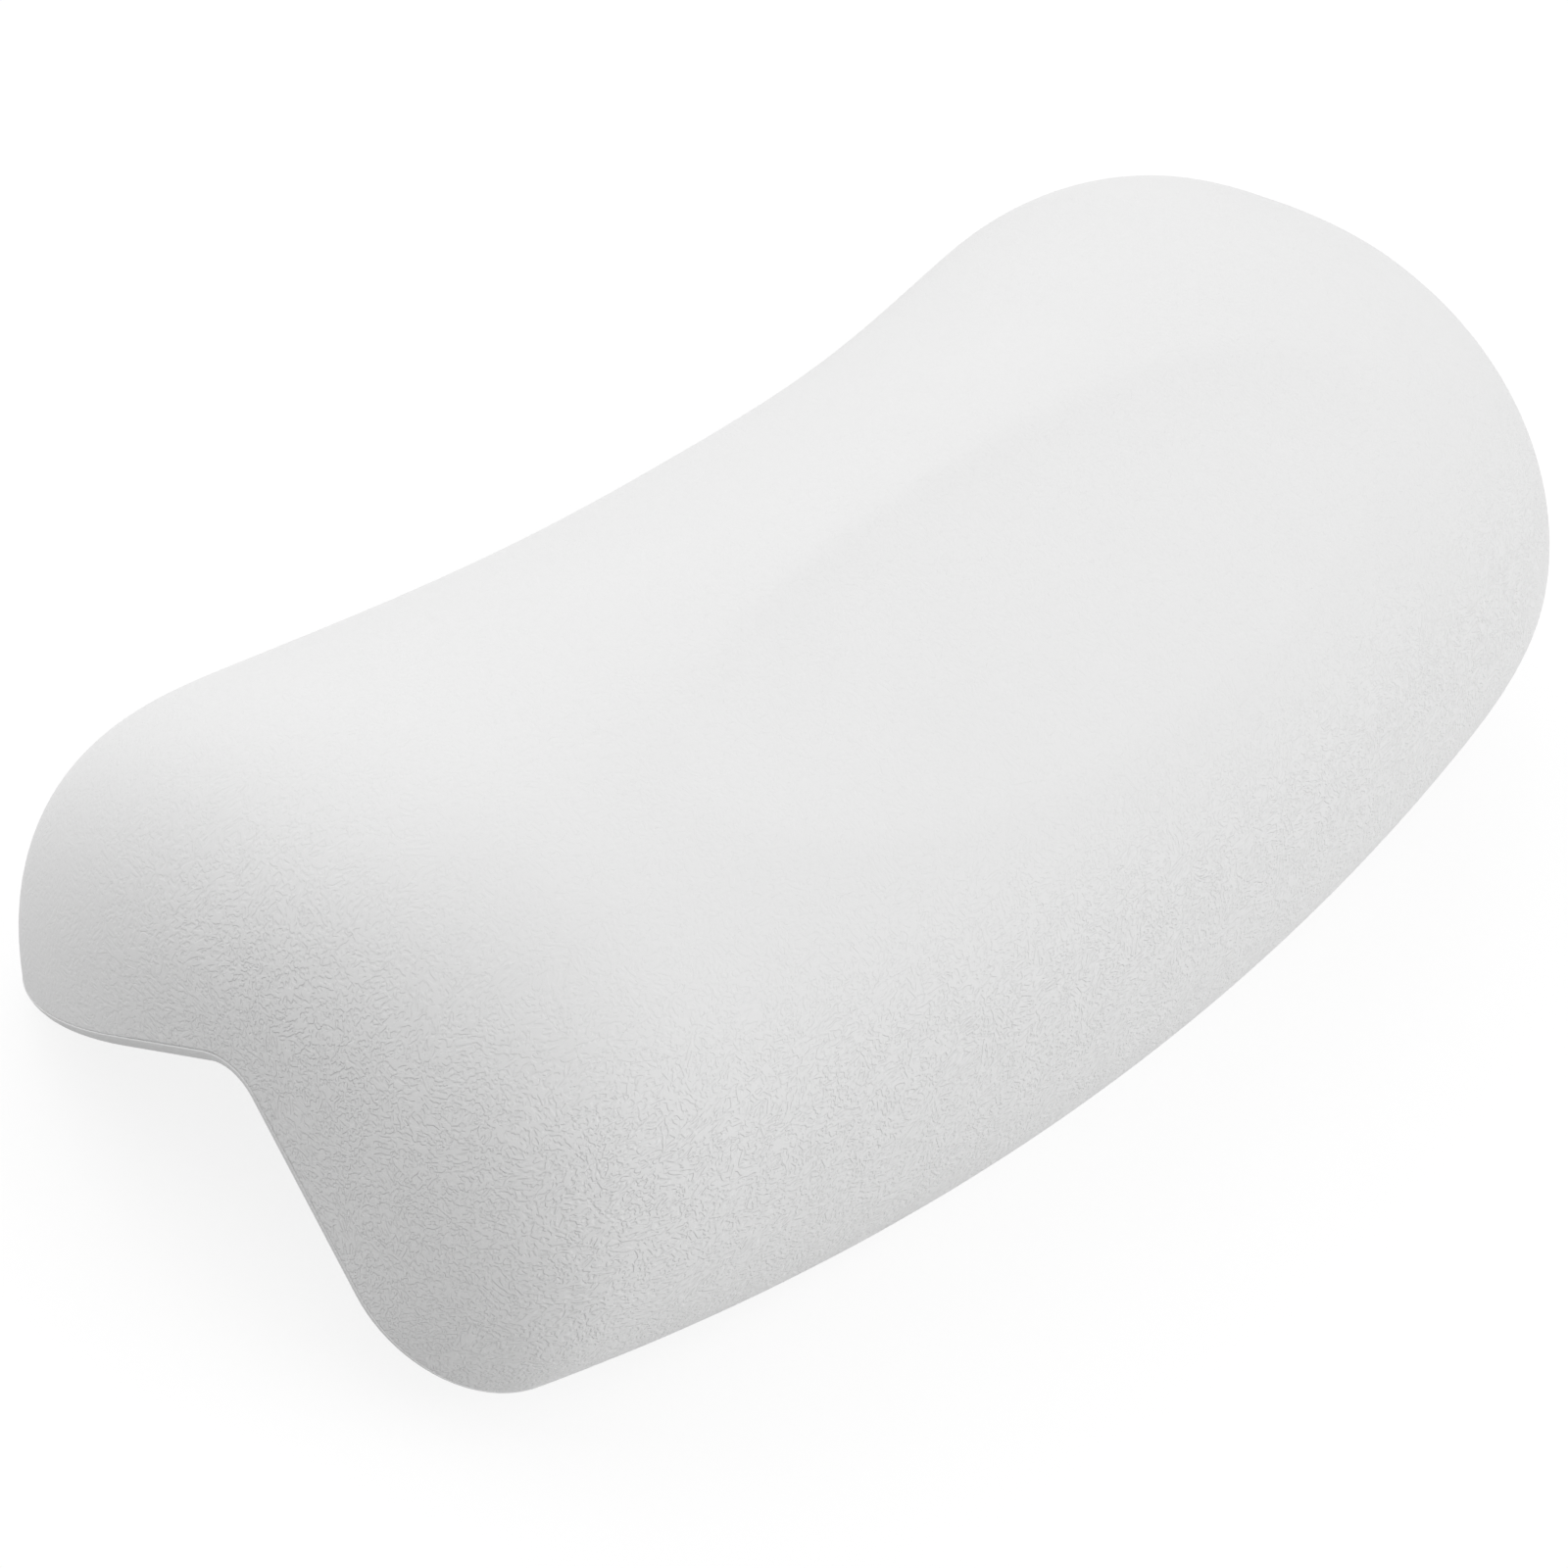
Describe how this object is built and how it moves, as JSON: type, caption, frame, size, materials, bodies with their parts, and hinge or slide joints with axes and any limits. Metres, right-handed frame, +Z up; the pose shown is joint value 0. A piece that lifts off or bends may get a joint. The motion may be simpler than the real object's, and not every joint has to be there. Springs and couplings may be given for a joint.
{
  "type": "bath pillow",
  "caption": "Moulded foam bath pillow, L-shaped in section, that hooks over a bath's rim and holds with suction cups under its pad and flap.",
  "frame": {"origin": "middle of the box's bottom, on the surface that the pillow stands on", "axes": "+X along the pillow, -Y towards the bather, +Z up; it stands on the pad's lower edge in front and the flap's rear edge behind"},
  "size_m": [0.3, 0.1396, 0.0899],
  "materials": {
    "upper_skin": "white polyurethane skin with a fine leather grain",
    "underside_skin": "white polyurethane skin, finer grain",
    "foam": "open flexible polyurethane foam",
    "plate": "natural polypropylene",
    "socket": "white polypropylene",
    "cup": "clear soft vinyl, glossy"
  },
  "bodies": {
    "pillow": {"upper_skin": "upper_skin", "underside_skin": "underside_skin", "foam_core": "foam", "pad_carrier_plate": "plate", "flap_carrier_plate": "plate", "pad_socket_left": "socket", "pad_socket_right": "socket", "flap_socket_left": "socket", "flap_socket_right": "socket"},
    "pad_cup_left": {"pad_cup_left": "cup"},
    "pad_cup_right": {"pad_cup_right": "cup"},
    "flap_cup_left": {"flap_cup_left": "cup"},
    "flap_cup_right": {"flap_cup_right": "cup"}
  },
  "joints": [
    {"name": "pad_cup_left_spin", "type": "hinge", "parent": "pillow", "child": "pad_cup_left", "pos_m": [-0.085, -0.02183, 0.01574], "axis": [0, 0.5181, -0.8553], "continuous": true},
    {"name": "pad_cup_right_spin", "type": "hinge", "parent": "pillow", "child": "pad_cup_right", "pos_m": [0.085, -0.02183, 0.01574], "axis": [0, 0.5181, -0.8553], "continuous": true},
    {"name": "flap_cup_left_spin", "type": "hinge", "parent": "pillow", "child": "flap_cup_left", "pos_m": [-0.085, 0.02986, 0.01617], "axis": [0, -0.6128, -0.7902], "continuous": true},
    {"name": "flap_cup_right_spin", "type": "hinge", "parent": "pillow", "child": "flap_cup_right", "pos_m": [0.085, 0.02986, 0.01617], "axis": [0, -0.6128, -0.7902], "continuous": true}
  ]
}
